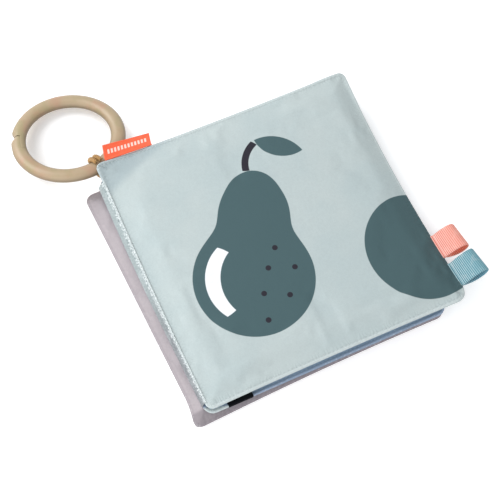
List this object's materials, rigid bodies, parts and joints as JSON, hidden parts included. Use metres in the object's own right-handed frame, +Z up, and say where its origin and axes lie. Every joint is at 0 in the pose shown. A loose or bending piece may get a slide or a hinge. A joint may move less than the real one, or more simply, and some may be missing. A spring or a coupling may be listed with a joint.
{
  "type": "drop down book",
  "caption": "Square padded cloth book that folds out in a zigzag, with a split grip ring on a cord, a woven tab and ribbon loops on its cover.",
  "frame": {"origin": "middle of the back panel's flat underside, on the surface that the closed book lies on", "axes": "+Z up out of the cover, +X towards the edge with the ribbon loops, +Y towards the edge with the ring and label"},
  "size_m": [0.2038, 0.209, 0.0218],
  "materials": {
    "pale_cloth": "woven polyester, pale blue-green, printed on the cover",
    "blue_cloth": "woven polyester, dusty blue",
    "mauve_cloth": "woven polyester, pale mauve",
    "wadding": "white polyester wadding",
    "crinkle_film": "thin clear crinkle film",
    "black_tape": "black hook and loop tape",
    "label_weave": "orange woven label, folded double",
    "coral_ribbon": "coral grosgrain ribbon",
    "blue_ribbon": "grey-blue grosgrain ribbon",
    "gold_cord": "gold-brown twisted cord",
    "ring_plastic": "beige moulded plastic, satin"
  },
  "bodies": {
    "back": {"back_lower_cloth": "pale_cloth", "back_upper_cloth": "mauve_cloth", "back_wadding": "wadding"},
    "page": {"page_lower_cloth": "mauve_cloth", "page_upper_cloth": "blue_cloth", "page_wadding": "wadding", "page_crinkle_film": "crinkle_film", "page_loop_patch": "black_tape", "page_fold_strip": "blue_cloth", "cover_fold_strip": "pale_cloth"},
    "cover": {"cover_back_cloth": "blue_cloth", "cover_front_cloth": "pale_cloth", "cover_wadding": "wadding", "cover_hook_patch": "black_tape"},
    "label": {"woven_label": "label_weave"},
    "coral_loop": {"coral_ribbon_loop": "coral_ribbon"},
    "blue_loop": {"blue_ribbon_loop": "blue_ribbon"},
    "cord": {"ring_cord_left": "gold_cord", "ring_cord_right": "gold_cord"},
    "ring": {"split_ring": "ring_plastic"}
  },
  "joints": [
    {"name": "page_fold", "type": "hinge", "parent": "back", "child": "page", "pos_m": [0.074, 0, 0.00615], "axis": [0, 1, 0], "range_deg": [0, 170], "deforming": ["page_fold_strip"]},
    {"name": "cover_fold", "type": "hinge", "parent": "page", "child": "cover", "pos_m": [-0.06645, 0, 0.01245], "axis": [0, -1, 0], "range_deg": [0, 180], "deforming": ["cover_fold_strip"]},
    {"name": "ring_swing", "type": "hinge", "parent": "cover", "child": "cord", "pos_m": [-0.06304, 0.07912, 0.02032], "axis": [0.9558, 0.2669, -0.1235], "range_deg": [0, 110]},
    {"name": "ring_spin", "type": "hinge", "parent": "cord", "child": "ring", "pos_m": [-0.07088, 0.10472, 0.00955], "axis": [0.0637, 0.2222, 0.9729], "continuous": true},
    {"name": "label_flex", "type": "hinge", "parent": "cover", "child": "label", "pos_m": [-0.04528, 0.07977, 0.01747], "axis": [0.9904, 0.0324, -0.1346], "range_deg": [0, 120]},
    {"name": "coral_flex", "type": "hinge", "parent": "cover", "child": "coral_loop", "pos_m": [0.08506, -0.0377, 0.0141], "axis": [-0.0452, 0.999, 0], "range_deg": [-60, 60], "stiffness_Nm_per_rad": 0.001},
    {"name": "blue_flex", "type": "hinge", "parent": "cover", "child": "blue_loop", "pos_m": [0.08604, -0.0556, 0.0141], "axis": [-0.0638, 0.998, 0], "range_deg": [-60, 60], "stiffness_Nm_per_rad": 0.001}
  ],
  "couplings": [
    {"joint": "label_flex", "follows": "ring_swing", "ratio": 1}
  ]
}
